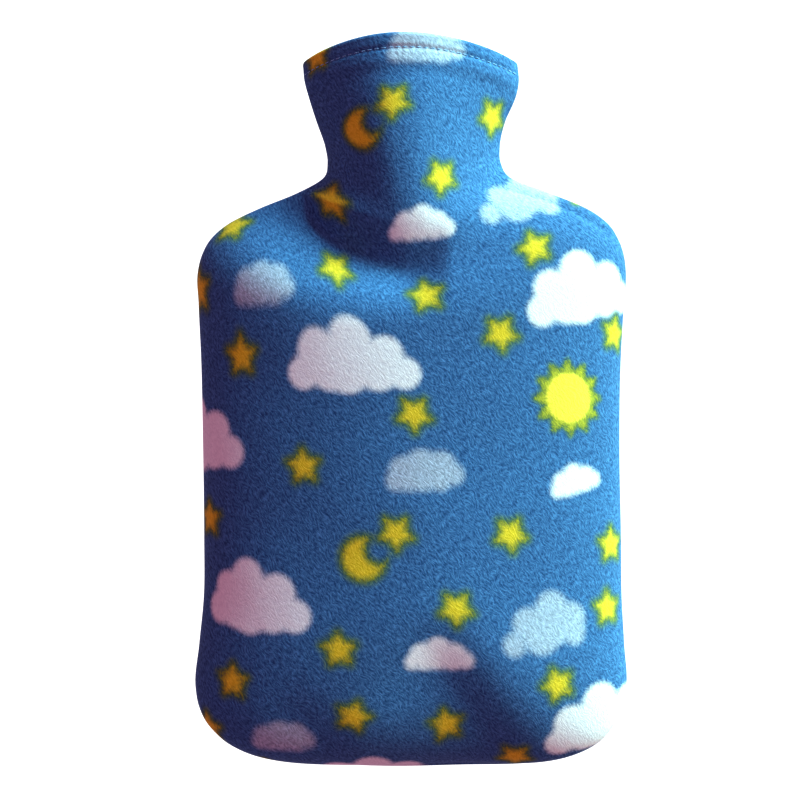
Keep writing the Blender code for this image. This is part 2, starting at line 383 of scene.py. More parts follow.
# Stage and light, with spreads, turns round the cover and rises above the floor in degrees
FLOOR_SIZE = 6.0         # metres
FLOOR_GLOW = 0.9
CAMERA_AT = (-5.1, 1.9, 647.0)
CAMERA_LENS = 59.75
CAMERA_SENSOR = 36.0
FLOOR_COLOUR = "777777"
GLOW_COLOUR = "FFFFFF"
BACKDROP_COLOUR = "F4F4F4"
KEY_COLOUR = "AEFBFF"
KEY_STRENGTH = 7.8
KEY_SPREAD = 46.0
KEY_TURN = 44.0
KEY_RISE = 7.5
LOW_COLOUR = "DCFFBC"
LOW_STRENGTH = 2.5
LOW_SPREAD = 50.0
LOW_TURN = 24.0
LOW_RISE = 2.0
FILL_COLOUR = "FFBFDD"
FILL_STRENGTH = 0.32

# Sockets of a Mix node that mixes colours
MIX_SHARE = 0
MIX_UNDER = 6
MIX_OVER = 7
MIX_COLOUR = 2


# ---------------- shape of the cloth

def follow(rows, column, up):
    """A column's values at these heights, on the cubic curve through the table's rows."""
    ups = np.array([row.up for row in rows])
    values = np.array([getattr(row, column) for row in rows])
    slopes = np.gradient(values, ups)
    i = np.clip(np.searchsorted(ups, up) - 1, 0, len(ups) - 2)
    step = ups[i + 1] - ups[i]
    part = np.clip((up - ups[i]) / step, 0.0, 1.0)
    start = (1.0 + 2.0 * part) * values[i] + part * step * slopes[i]
    end = (3.0 - 2.0 * part) * values[i + 1] + (part - 1.0) * step * slopes[i + 1]
    return (1.0 - part) ** 2 * start + part * part * end


def ease(value):
    """Smooth step from 0 to 1."""
    part = np.clip(value, 0.0, 1.0)
    return part * part * (3.0 - 2.0 * part)


def settle(value):
    """Step from 0 to 1 that starts briskly and runs out slowly."""
    part = np.clip(value, 0.0, 1.0)
    return 1.0 - (1.0 - part) ** 3 * (1.0 + 3.0 * part)


def bell(distance, width):
    """Smooth hump that is 1 in its middle and nearly 0 at twice its width from there."""
    return np.exp(-(distance / width) ** 2)


def softened(distance, softness):
    """Distance from a line that starts slowly, so that a slope along it has no edge there."""
    return np.hypot(distance, softness) - softness


def rounding(distance, length):
    """Square of a quarter ellipse that rises from 0 at an edge to 1 at a length from it."""
    return 1.0 - (1.0 - np.clip(distance / length, 0.0, 1.0)) ** 2


def both(one, other):
    """Two roundings at once, so that the corner between two edges is as full as either."""
    return one * other / np.maximum(one + other - one * other, SMALLEST)


def unit(vectors):
    """The same directions, with a length of 1."""
    return vectors / np.maximum(np.linalg.norm(vectors, axis=-1, keepdims=True), SMALLEST)


def crown_left(x, up):
    """Square of the share of the crown left between the valley and the shoulders."""
    across = x - TIP_X
    arm = np.where(across > 0.0, ARM_RISE_RIGHT, ARM_RISE_LEFT)
    valley_up = TIP_UP + arm * softened(across, TIP_SOFTNESS)
    fall = FALL_AT_TIP + (FALL_AT_ENDS - FALL_AT_TIP) * ease(abs(across) / ARM_SPAN)
    floor = FALL_FLOOR + FLOOR_RISE * ease((across - FLOOR_FROM) / FLOOR_SPAN)
    at_valley = floor + (1.0 - floor) * settle((valley_up - up) / fall)
    shoulder_up = SHOULDER_UP + SHOULDER_RISE * (1.0 - (abs(x) / SHOULDER_SPAN) ** SHOULDER_POWER)
    at_shoulder = 1.0 - SHOULDER_LOSS * (1.0 - rounding(shoulder_up - up, SHOULDER_FALL))
    return both(at_valley ** 2, at_shoulder)


def trough_depth(x, up):
    """How far the soft troughs press the front in."""
    depth = np.zeros_like(x)
    for trough in TROUGHS:
        run_x, run_up = trough.x1 - trough.x0, trough.up1 - trough.up0
        length = hypot(run_x, run_up)
        along = ((x - trough.x0) * run_x + (up - trough.up0) * run_up) / length ** 2
        off = ((x - trough.x0) * run_up - (up - trough.up0) * run_x) / length
        ends = ease(TROUGH_ENDS - abs(2.0 * along - 1.0))
        width = np.where(off < 0.0, trough.width_right, trough.width_left)
        depth += trough.depth * ends * bell(off, width)
    return depth


def ridge_share(x, up, left, right):
    """Share of the neck's ridge left at each side of it, as far as the seam or the ridge's foot."""
    ridge_x = follow(COLLAR, "ridge_x", up)
    off = x - ridge_x
    reach = np.where(off < 0.0, np.minimum(left + ridge_x, RIDGE_REACH_LEFT),
                     np.minimum(right - ridge_x, RIDGE_REACH_RIGHT))
    away = np.clip(softened(off, RIDGE_SOFTNESS) / softened(reach, RIDGE_SOFTNESS), 0.0, 1.0)
    return (1.0 - away ** RIDGE_POWER) ** np.where(off < 0.0, RIDGE_ROUND_LEFT, RIDGE_ROUND_RIGHT)


def front_rise(sideways, x, up, end_up, left, right):
    """Rise of the front above the seam; sideways is -1 and 1 at the seam."""
    section = 1.0 - abs(sideways) ** np.where(sideways < 0.0, BODY_POWER_LEFT, BODY_POWER_RIGHT)
    body = both(both(section, rounding(end_up, FRONT.end_round)), crown_left(x, up))
    crown = CROWN * np.maximum(follow(COLLAR, "crown", up), 0.0) * np.sqrt(body)
    ridge = follow(COLLAR, "ridge", up) * ridge_share(x, up, left, right)
    rise = (crown ** BLEND + ridge ** BLEND) ** (1.0 / BLEND) - trough_depth(x, up) * np.sqrt(section)
    return rise * (1.0 - (SEAM_ROUND - CROWN_LIFT) / CROWN)


def back_drop(sideways, up, end_up):
    """Drop of the back below the seam, before the surface flattens it."""
    section = 1.0 - abs(sideways) ** follow(COLLAR, "square", up)
    return follow(COLLAR, "depth", up) * np.sqrt(both(section, rounding(end_up, BACK.end_round)))


def seam_share(side_up):
    """Share of the seam's turn and allowance at these heights, which is small at the rim."""
    return RIM_ALLOWANCE + (1.0 - RIM_ALLOWANCE) * ease((OUTLINE[-1].up - side_up) / RIM_FADE)


def cloth_face(panel, angle, side_up):
    """Outer face of a panel: angle runs from seam to seam, side_up along the side seam."""
    sideways = np.clip(np.sin(angle), -1.0, 1.0)
    left = follow(OUTLINE, "left", side_up)
    right = follow(OUTLINE, "right", side_up)
    x = (right - left) / 2.0 + sideways * (right + left) / 2.0
    drop = CORNER_DROP * (1.0 - ease((side_up - OUTLINE[0].up) / CORNER_REACH))
    arch = panel.arch * ease(1.0 - (OUTLINE[-1].up - side_up) / ARCH_REACH)
    end_up = side_up - drop
    dip = ROW_DIP * np.minimum(ease((side_up - DIP_FROM) / (DIP_MOST - DIP_FROM)),
                               ease((DIP_TO - side_up) / (DIP_TO - DIP_MOST)))
    up = end_up + drop * abs(sideways) ** CORNER_POWER + arch * (1.0 - sideways * sideways)
    up -= dip * (1.0 - abs(sideways) ** DIP_POWER)
    turned = 1.0 - (1.0 - seam_share(side_up)) * abs(sideways) ** RIM_POWER
    apart = SEAM_GAP / 2.0 + SEAM_ROUND * turned
    if panel is FRONT:
        z = SEAM_HEIGHT + apart + front_rise(sideways, x, up, end_up, left, right)
    else:
        z = np.maximum(SEAM_HEIGHT - apart - back_drop(sideways, up, end_up), 0.0)
    return np.stack([x - CENTRE_X, up - CENTRE_UP, z], axis=-1)


def row_heights(panel):
    """Heights at the side seam of the rows: close at the closed end and in the hem."""
    first, last = OUTLINE[0].up, OUTLINE[-1].up
    turns = np.arange(panel.end_rows) / panel.end_rows * pi / 2.0
    end = first + FRONT.end_round * (1.0 - np.cos(turns))
    ups = np.linspace(first + FRONT.end_round, last, CURVE_POINTS)
    halves = (follow(OUTLINE, "left", ups) + follow(OUTLINE, "right", ups)) / 2.0
    lengths = np.append(0.0, np.cumsum(np.hypot(np.diff(ups), np.diff(halves))))
    hem = lengths[-1] - HEM_ZONE
    steps = np.append(np.linspace(0.0, hem, int(hem / panel.spacing), endpoint=False),
                      np.linspace(hem, lengths[-1], panel.hem_rows + 1))
    return np.append(end, np.interp(steps, lengths, ups))


def facing(points):
    """Normals of a grid of points, each as long as its share of the area."""
    return np.cross(np.gradient(points, axis=1), np.gradient(points, axis=0))


def outward(points, panel):
    """Unit normals of a grid of points, away from the bottle."""
    return unit(facing(points)) * panel.out


def run_lengths(points, axis):
    """Distance along the cloth from the grid's first row or column."""
    steps = np.linalg.norm(np.diff(points, axis=axis), axis=-1)
    start = np.zeros_like(np.take(steps, [0], axis=axis))
    return np.concatenate([start, np.cumsum(steps, axis=axis)], axis=axis)


def hem_relief(below, along):
    """Rise of the cloth round the hem's sewing, by distance below the rim and along it."""
    stitch = np.cos(tau * along / STITCH_PITCH)
    relief = np.zeros_like(below)
    for pucker in PUCKERS:
        hump = bell(below - STITCH_LINE - pucker.below, pucker.width)
        relief += pucker.rise * hump * (1.0 - abs(pucker.beat) + pucker.beat * stitch)
    return relief


def unevenness(points):
    """Soft waves of the filled cloth."""
    height = np.zeros(points.shape[:-1])
    for wave in WAVES:
        turn = radians(wave.turn)
        across = points[..., 0] * cos(turn) + points[..., 1] * sin(turn) + WAVE_RISE * points[..., 2]
        height += wave.height * np.sin(tau * across / wave.length + wave.phase)
    return height


def hem_ways(panel, face, from_seam):
    """The hem's ways on past the rim and out of the cloth, which come level at the side seam."""
    onward = unit(face[-1] - face[-1 - LEAD_ROWS])
    away = unit(panel.out * np.cross(np.gradient(face[-1], axis=0), onward))
    share = (1.0 - ease(from_seam / HEM_LEVEL_REACH))[:, None]
    ways = []
    for way in (onward, away):
        level = unit(way * (1.0, 1.0, 0.0))
        ways.append(unit(way + (level - way) * share))
    return ways


def folded_hem(panel, rim, onward, away):
    """Rows of cloth past the rim: the hem's fold, then its inner layer."""
    rows = []
    for i in range(1, panel.turn_rows + 1):
        turn = pi * i / panel.turn_rows
        rows.append(rim + onward * HEM_RADIUS * sin(turn) - away * HEM_RADIUS * (1.0 - cos(turn)))
    for i in range(1, panel.in_rows + 1):
        run = HEM_LENGTH * i / panel.in_rows
        pinch = PINCH * bell(run - STITCH_LINE - HEM_RADIUS, PINCH_WIDTH)
        rows.append(rim - onward * run - away * (2.0 * HEM_RADIUS - pinch))
    return rows


def panel_rows(panel):
    """Points of a panel's outer face and of the hem turned in behind it, row by row.

    Also gives the number of rows in the face."""
    turns = np.linspace(-pi / 2.0, pi / 2.0, panel.columns + 1)
    angles = turns - COLUMN_EVENING * np.sin(2.0 * turns)
    angle, side_up = np.meshgrid(angles, row_heights(panel))
    face = cloth_face(panel, angle, side_up)
    normals = outward(face, panel)
    from_end = run_lengths(face, 0)
    below = from_end[-1] - from_end
    along = run_lengths(face, 1)
    along -= along[:, panel.columns // 2][:, None]
    from_seam = np.minimum(along - along[:, :1], along[:, -1:] - along)
    relief = hem_relief(below, along) * ease(from_seam / PUCKER_FADE)
    waves = unevenness(face) * ease(from_seam / WAVE_FADE) * ease(below / WAVE_FADE)
    relief += waves * ease(from_end / WAVE_END_FADE)
    if panel is BACK:
        relief *= np.clip(face[..., 2] / REST_FADE, 0.0, 1.0)
    face = face + normals * relief[..., None]
    if panel is BACK:
        face[..., 2] = np.maximum(face[..., 2], 0.0)
    onward, away = hem_ways(panel, face, from_seam[-1])
    return np.stack([*face, *folded_hem(panel, face[-1], onward, away)]), len(face)


# ---------------- print

def star_depth(across, up, arms, outer, waist):
    """Depth inside the edge of a star with one arm straight up."""
    sector = tau / arms
    turn = abs((np.arctan2(across, up) + sector / 2.0) % sector - sector / 2.0)
    radius = np.hypot(across, up)
    edge_x = waist * outer * cos(sector / 2.0) - outer
    edge_y = waist * outer * sin(sector / 2.0)
    side = edge_x * radius * np.sin(turn) - edge_y * (radius * np.cos(turn) - outer)
    return np.minimum(side / hypot(edge_x, edge_y), outer - STAR_TIP - radius)


def cloud_depth(across, up, lobes):
    """Depth inside the edge of a cloud of round lobes, which run softly into each other."""
    depths = [lobe.radius - np.hypot(across - lobe.across, up - lobe.up) for lobe in lobes]
    return np.logaddexp.reduce([depth / LOBE_SOFTNESS for depth in depths]) * LOBE_SOFTNESS


def moon_depth(across, up):
    """Depth inside a crescent that opens up and to the right."""
    bite = np.hypot(across - MOON_BITE_ACROSS, up - MOON_BITE_UP) - MOON_BITE
    return np.minimum(MOON_RADIUS - np.hypot(across, up), bite)


def motif_depths(kind, across, up):
    """Depth inside a motif, for each of the colours that it is printed in."""
    if kind == "star":
        return {"yellow": star_depth(across, up, STAR_ARMS, STAR_RADIUS, STAR_WAIST)}
    if kind == "moon":
        return {"yellow": moon_depth(across, up)}
    if kind == "sun":
        return {"discs": SUN_RADIUS - np.hypot(across, up),
                "rays": star_depth(across, up, RAYS, RAY_RADIUS, RAY_WAIST)}
    colour = "pale_clouds" if kind in PALE else "white_clouds"
    return {colour: cloud_depth(across, up, CLOUDS[kind])}


def unpulled(flat):
    """Where on the straight print each point of the flat cloth lies."""
    x, y = flat[..., 0], flat[..., 1]
    across = x + np.interp(y, [row.up for row in LEAN], [row.left for row in LEAN])
    at_neck = bell(x - NECK_PULL_ACROSS, NECK_PULL_WIDTH) * bell(y - NECK_PULL_UP, NECK_PULL_HEIGHT)
    at_shoulder = ease((-x - SHOULDER_PULL_LEFT) / SHOULDER_PULL_SPAN)
    at_shoulder *= ease((y - SHOULDER_PULL_UP) / SHOULDER_PULL_RISE)
    at_shoulder *= ease((SHOULDER_PULL_TOP - y) / SHOULDER_PULL_FADE)
    at_end = bell(x - END_PULL_ACROSS, END_PULL_WIDTH) * ease((END_PULL_TOP - y) / END_PULL_FADE)
    return across + NECK_PULL * at_neck, y - SHOULDER_PULL * at_shoulder + END_PULL * at_end


def off_nearest(place, motif_place, repeat):
    """Distance from the nearest of a motif's places, which lie a repeat apart."""
    return (place - motif_place + repeat / 2.0) % repeat - repeat / 2.0


def print_depths(flat, shift):
    """Depth of each point inside the nearest motif of each colour, in millimetres."""
    depths = {name: np.full(flat.shape[:-1], -MOST_DEPTH) for name in PRINT_COLOURS}
    print_across, print_up = unpulled(flat)
    for motif in PRINT:
        x = off_nearest(print_across + shift[0], motif.across, REPEAT_ACROSS)
        y = off_nearest(print_up + shift[1], motif.up, REPEAT_UP)
        turn = radians(motif.turn)
        across = (x * cos(turn) - y * sin(turn)) / motif.size
        up = (x * sin(turn) + y * cos(turn)) / motif.size
        for colour, depth in motif_depths(motif.kind, across, up).items():
            depths[colour] = np.maximum(depths[colour], depth * motif.size)
    return depths


# ---------------- cutting pattern

def relax(flat, points, rounds):
    """Moves flat points until the distances between neighbours are as on the cloth itself."""
    every, first, last = slice(None), slice(None, -1), slice(1, None)
    pairs = [((every, first), (every, last)), ((first, every), (last, every)),
             ((first, first), (last, last)), ((first, last), (last, first))]
    lengths = [np.linalg.norm(points[there] - points[here], axis=-1) for here, there in pairs]
    flat, speed = flat.copy(), np.zeros_like(flat)
    for _ in range(rounds):
        push = np.zeros_like(flat)
        for (here, there), length in zip(pairs, lengths):
            apart = flat[there] - flat[here]
            now = np.maximum(np.linalg.norm(apart, axis=-1), SMALLEST)
            pull = apart * ((1.0 - length / now) / 2.0)[..., None]
            push[here] += pull
            push[there] -= pull
        speed = RELAX_KEEP * speed + RELAX_STEP * push
        flat += speed
    return flat


def spread_out(values, rows, columns, shape):
    """Values at some of a grid's rows and columns, run straight between them to all of it."""
    tall = np.stack([np.interp(np.arange(shape[0]), rows, column) for column in values.T], axis=1)
    return np.stack([np.interp(np.arange(shape[1]), columns, row) for row in tall])


def cutting_pattern(points):
    """Each point's place on the flat cloth: millimetres across and up from the closed end."""
    shape = points.shape[:2]
    middle = shape[1] // 2
    across = run_lengths(points, 1)
    up = run_lengths(points, 0)[:, middle][:, None]
    flat = np.stack([across - across[:, middle][:, None], np.broadcast_to(up, shape)], axis=-1)
    for stride, rounds in RELAX_ROUNDS:
        rows, columns = (np.unique(np.rint(np.linspace(0, n - 1, n // stride)).astype(int)) for n in shape)
        some = np.ix_(rows, columns)
        moved = relax(flat[some], points[some], rounds) - flat[some]
        moves = [spread_out(moved[..., axis], rows, columns, shape) for axis in (0, 1)]
        flat = flat + np.stack(moves, axis=-1)
    flat -= flat[0, middle]
    ahead = unit(flat[-1, middle])
    return np.stack([flat @ (ahead[1], -ahead[0]), flat @ ahead], axis=-1)


# ---------------- pieces

def finish_piece(name, mesh, materials):
    """Makes the mesh a smooth object of the scene."""
    data = bpy.data.meshes.new(name)
    mesh.to_mesh(data)
    mesh.free()
    data.shade_smooth()
    for material in materials:
        data.materials.append(material)
    piece = bpy.data.objects.new(name, data)
    bpy.context.scene.collection.objects.link(piece)
    return piece


def make_sheet(panel, points, materials):
    """A panel's grid as an object, and the row and column of each of its vertices."""
    rows, columns = len(points) - 1, panel.columns
    mesh = bmesh.new()
    bmesh.ops.create_grid(mesh, x_segments=columns, y_segments=rows, size=1.0)
    if panel is BACK:
        bmesh.ops.reverse_faces(mesh, faces=mesh.faces)
    cover = finish_piece(panel.name + "_fleece", mesh, materials)
    places = np.empty(len(cover.data.vertices) * 3, dtype=np.float32)
    cover.data.vertices.foreach_get("co", places)
    places = places.reshape(-1, 3)
    order = (np.rint((places[:, 1] + 1.0) / 2.0 * rows).astype(int),
             np.rint((places[:, 0] + 1.0) / 2.0 * columns).astype(int))
    cover.data.vertices.foreach_set("co", (points[order] * MM).astype(np.float32).ravel())
    return cover, order


def seam_inward(points, share):
    """At the sheet's edges, the way in across the seam; its length is the share of the turn.

    The hem's fold and inner layer, past the rows that have a share, aren't turned in."""
    inward = np.zeros_like(points)
    face = points[:len(share)]
    for column, side in ((0, 1.0), (-1, -1.0)):
        ahead = np.gradient(face[:, column], axis=0)
        way = unit(np.stack([ahead[:, 1], -ahead[:, 0]], axis=-1)) * side
        inward[:len(share), column, :2] = way * share[:, None]
    over = np.gradient(points[0], axis=0)
    inward[0, 1:-1, :2] = unit(np.stack([-over[:, 1], over[:, 0]], axis=-1))[1:-1]
    return inward


def mark_sheet(data, points, flat, share, shift, order):
    """Writes the flat cloth's UV map, the print, and what turn_in_seam works from."""
    data.uv_layers.new(name="cloth")
    corners = np.empty(len(data.loops), dtype=np.int32)
    data.loops.foreach_get("vertex_index", corners)
    uv = flat[order] / UV_SPAN + UV_START
    data.uv_layers["cloth"].uv.foreach_set("vector", uv[corners].astype(np.float32).ravel())
    for name, depth in print_depths(flat, shift).items():
        values = np.clip(depth[order], -MOST_DEPTH, MOST_DEPTH).astype(np.float32)
        data.attributes.new(name, "FLOAT", "POINT").data.foreach_set("value", values)
    places = np.concatenate([flat, np.zeros_like(flat[..., :1])], axis=-1)
    for name, vectors in (("inward", seam_inward(points, share)), ("place", places)):
        attribute = data.attributes.new(name, "FLOAT_VECTOR", "POINT")
        attribute.data.foreach_set("vector", vectors[order].astype(np.float32).ravel())


def turn_in_seam(mesh, panel):
    """Turns the sheet's edges in to the seam, less where the hem already doubles the cloth."""
    inward = mesh.verts.layers.float_vector["inward"]
    place = mesh.verts.layers.float_vector["place"]
    thickness = mesh.verts.layers.deform.verify()
    uv = mesh.loops.layers.uv["cloth"]
    for point in mesh.verts:
        point[thickness][0] = 1.0
    edges = [edge for edge in mesh.edges
             if edge.is_boundary and all(point[inward].length > 0.0 for point in edge.verts)]
    turns = [pi / 2.0 * i / SEAM_STEPS for i in range(SEAM_STEPS + 1)]
    steps = [(SEAM_ROUND * (1.0 - cos(turn)), SEAM_ROUND * sin(turn)) for turn in turns]
    steps.append((SEAM_ROUND + SEAM_ALLOWANCE, SEAM_ROUND))
    for (in_before, down_before), (in_now, down_now) in zip(steps, steps[1:]):
        made = set(bmesh.ops.extrude_edge_only(mesh, edges=edges)["geom"])
        run = hypot(in_now - in_before, down_now - down_before)
        for point in made:
            if isinstance(point, bmesh.types.BMVert):
                share = point[inward].length
                point.co += point[inward] * (in_now - in_before) * MM
                point.co.z -= panel.out * (down_now - down_before) * share * MM
                point[place] -= point[inward] * run
                point[thickness][0] = share
        for face in made:
            if isinstance(face, bmesh.types.BMFace):
                for corner in face.loops:
                    corner[uv].uv = (corner.vert[place] / UV_SPAN).xy + Vector(UV_START)
        edges = [edge for edge in made if isinstance(edge, bmesh.types.BMEdge) and edge.is_boundary
                 and all(point in made for point in edge.verts)]


def thicken(cover):
    """Gives the sheet its thickness, with the fleece's reverse inside and on its cut edges."""
    cloth = cover.modifiers.new("cloth", "SOLIDIFY")
    cloth.thickness = CLOTH * MM
    cloth.offset = -1.0
    cloth.vertex_group = "thickness"
    cloth.material_offset = 1
    cloth.material_offset_rim = 1


def make_panel(panel, shift, materials):
    """One panel of fleece, with its hem and its edges turned in.

    Also gives its outer face, and the width, length and area of the flat cloth."""
    points, face_rows = panel_rows(panel)
    flat = cutting_pattern(points)
    cover, order = make_sheet(panel, points, materials)
    mark_sheet(cover.data, points, flat, seam_share(row_heights(panel)), shift, order)
    cover.vertex_groups.new(name="thickness")
    mesh = bmesh.new()
    mesh.from_mesh(cover.data)
    turn_in_seam(mesh, panel)
    mesh.to_mesh(cover.data)
    mesh.free()
    for name in ("inward", "place"):
        cover.data.attributes.remove(cover.data.attributes[name])
    thicken(cover)
    area = np.linalg.norm(facing(points), axis=-1).sum()
    return cover, points[:face_rows], (np.ptp(flat[..., 0]), np.ptp(flat[..., 1]), area)


def at_sewing(face, values):
    """A face's values where the hem's sewing crosses each column."""
    below = run_lengths(face[::-1], 0)
    columns = range(face.shape[1])
    return np.stack([[np.interp(STITCH_LINE, below[:, i], values[::-1, i, axis]) for i in columns]
                     for axis in range(3)], axis=-1)


def at_distance(distance, along, values):
    """A line's values at this distance along it."""
    return np.array([np.interp(distance, along, values[:, axis]) for axis in range(3)])


def make_stitches(name, panel, face, material):
    """The hem's sewing: short stitches on the line below the rim, on its outer face."""
    line = at_sewing(face, face)
    away = at_sewing(face, outward(face, panel))
    along = run_lengths(line, 0)
    along -= along[len(along) // 2]
    mesh = bmesh.new()
    last = int((along[-1] - SEAM_ROUND) / STITCH_PITCH)
    first = -int((-along[0] - SEAM_ROUND) / STITCH_PITCH)
    for i in range(first, last + 1):
        start, end = (at_distance(i * STITCH_PITCH + offset, along, line)
                      for offset in (-STITCH_LENGTH / 2.0, STITCH_LENGTH / 2.0))
        normal = Vector(at_distance(i * STITCH_PITCH, along, away)).normalized()
        ahead = Vector(end - start).normalized()
        turn = Matrix((ahead, normal.cross(ahead), normal)).transposed().to_4x4()
        centre = (Vector(start) + Vector(end)) / 2.0 + normal * (THREAD * STITCH_RISE)
        size = Matrix.Diagonal((STITCH_LENGTH / 2.0, THREAD / 2.0, THREAD / 2.0, 1.0))
        bmesh.ops.create_uvsphere(mesh, u_segments=8, v_segments=7, radius=1.0,
                                  matrix=Matrix.Scale(MM, 4) @ Matrix.Translation(centre) @ turn @ size)
    return finish_piece(name, mesh, [material])


# ---------------- materials

def linear(colour):
    """An sRGB colour in hex as the linear values that Blender works in."""
    values = [int(colour[i:i + 2], 16) / 255.0 for i in (0, 2, 4)]
    return [v / 12.92 if v <= 0.04045 else ((v + 0.055) / 1.055) ** 2.4 for v in values] + [1.0]


def add_node(tree, kind, inputs=None, **settings):
    """A node with its settings; its inputs are values, or other nodes' outputs to link."""
    made = tree.nodes.new("ShaderNode" + kind)
    for name, value in settings.items():
        setattr(made, name, value)
    for socket, value in (inputs or {}).items():
        if isinstance(value, bpy.types.NodeSocket):
            tree.links.new(value, made.inputs[socket])
        else:
            made.inputs[socket].default_value = value
    return made


def new_material(name):
    """A new material, its node tree and its shader."""
    material = bpy.data.materials.new(name)
    material.use_nodes = True
    tree = material.node_tree
    return material, tree, tree.nodes["Principled BSDF"]


def pile_pattern(tree, cloth, pile):
    """Noise drawn out along the lie of the pile."""
    lie = add_node(tree, "Mapping", {"Vector": cloth, "Rotation": (0.0, 0.0, radians(pile.turn)),
                                     "Scale": (pile.length, pile.width, 1.0)}, vector_type="TEXTURE")
    noise = add_node(tree, "TexNoise", {"Vector": lie.outputs[0], "Scale": 1.0, "Detail": pile.detail,
                                        "Roughness": PILE_ROUGHNESS}, noise_dimensions="2D")
    return noise.outputs[0]


def wandering(tree, flat):
    """The flat cloth's places, moved a little this way and that."""
    drift = add_node(tree, "TexNoise", {"Vector": flat, "Scale": 1.0 / DRIFT_LENGTH, "Detail": 1.0},
                     noise_dimensions="2D").outputs[1]
    drift = add_node(tree, "VectorMath", {0: drift, 1: (-0.5, -0.5, 0.0)}, operation="ADD").outputs[0]
    moved = add_node(tree, "VectorMath", {0: drift, 1: (DRIFT, DRIFT, 0.0), 2: flat},
                     operation="MULTIPLY_ADD")
    return moved.outputs[0]


def polyester_fleece():
    """Brushed polyester fleece with a transfer print.  It gives the eye a soft matt face with
    a short diagonal lie, motifs whose edges break up in the pile, and a pale bloom at grazing
    angles.  Each dye is darker in the pile's hollows, where the bump is low, as painted shade."""
    material, tree, shader = new_material("brushed_polyester_fleece")
    uv = add_node(tree, "UVMap", uv_map="cloth").outputs[0]
    flat = add_node(tree, "VectorMath", {0: uv, 1: (UV_SPAN, UV_SPAN, 1.0)}, operation="MULTIPLY").outputs[0]
    cloth = wandering(tree, flat)
    tufts, fibres = (pile_pattern(tree, cloth, pile) for pile in (TUFTS, FIBRES))
    clumps, patches = (pile_pattern(tree, flat, pile) for pile in (CLUMPS, PATCHES))
    tufts = add_node(tree, "Math", {0: tufts, 1: TUFT_SHARE}, operation="MULTIPLY").outputs[0]
    pile = add_node(tree, "Math", {0: fibres, 1: 1.0 - TUFT_SHARE, 2: tufts},
                    operation="MULTIPLY_ADD").outputs[0]
    fuzz = add_node(tree, "Math", {0: pile, 1: FUZZ, 2: -FUZZ / 2.0}, operation="MULTIPLY_ADD").outputs[0]
    # The pile's pattern, which is also the bump's height, as painted shade: deepest in the hollows, lightest
    # on the tufts
    shade = add_node(tree, "MapRange", {"Value": pile, "From Min": PILE_LOW,
                                        "From Max": PILE_HIGH}).outputs[0]

    def printed(motifs, spread, soft):
        """Share of a dye on the cloth, by the depth inside its motifs."""
        depth = add_node(tree, "Attribute", attribute_name=motifs).outputs["Fac"]
        depth = add_node(tree, "Math", {0: depth, 1: fuzz}, operation="ADD").outputs[0]
        share = add_node(tree, "MapRange", {"Value": depth, "From Min": -spread - soft,
                                            "From Max": -spread + soft}, interpolation_type="SMOOTHSTEP")
        return share.outputs[0]

    def dye_with_pile_shade(deep, light):
        """A dye's colour with painted shade: deeper in the hollows between the pile's tufts, where the bump
        is low, than on them.
        """
        dye = add_node(tree, "Mix", {MIX_SHARE: shade, MIX_UNDER: linear(deep), MIX_OVER: linear(light)},
                       data_type="RGBA")
        return dye.outputs[MIX_COLOUR]

    dusk = add_node(tree, "MapRange", {"Value": clumps, "From Min": CLUMP_LOW, "From Max": CLUMP_HIGH,
                                       "To Max": DUSK}).outputs[0]
    # Painted shade in the pale clouds: less white where the pile, which is also the bump's height, is low
    haze_pile_shade = add_node(tree, "MapRange", {"Value": pile, "From Min": PILE_LOW, "From Max": PILE_HIGH,
                                          "To Min": HAZE_LOW, "To Max": HAZE_HIGH}).outputs[0]
    haze = add_node(tree, "Math", {0: printed("pale_clouds", HAZE_SPREAD, HAZE_SOFT), 1: haze_pile_shade},
                    operation="MULTIPLY").outputs[0]
    layers = [(dusk, linear(BLUE_DEEP)), (haze, dye_with_pile_shade(WHITE_DEEP, WHITE_LIGHT))]
    layers += [(printed(dye.motifs, dye.spread, dye.soft), dye_with_pile_shade(dye.deep, dye.light)) for dye in DYES]
    colour = dye_with_pile_shade(BLUE_DEEP, BLUE_LIGHT)
    for share, over in layers:
        colour = add_node(tree, "Mix", {MIX_SHARE: share, MIX_UNDER: colour, MIX_OVER: over},
                          data_type="RGBA").outputs[MIX_COLOUR]
    tree.links.new(colour, shader.inputs["Base Color"])

    lumps = add_node(tree, "Math", {0: clumps, 1: CLUMP_RELIEF, 2: pile}, operation="MULTIPLY_ADD").outputs[0]
    height = add_node(tree, "Math", {0: patches, 1: PATCH_RELIEF, 2: lumps},
                      operation="MULTIPLY_ADD").outputs[0]
    bump = add_node(tree, "Bump", {"Height": height, "Strength": 1.0, "Distance": PILE_RELIEF * MM})
    tree.links.new(bump.outputs[0], shader.inputs["Normal"])
    shader.inputs["Roughness"].default_value = 0.95
    shader.inputs["Specular IOR Level"].default_value = 0.15
    shader.inputs["Sheen Weight"].default_value = 0.04
    shader.inputs["Sheen Roughness"].default_value = 0.5
    shader.inputs["Sheen Tint"].default_value = linear(SHEEN)
    return material


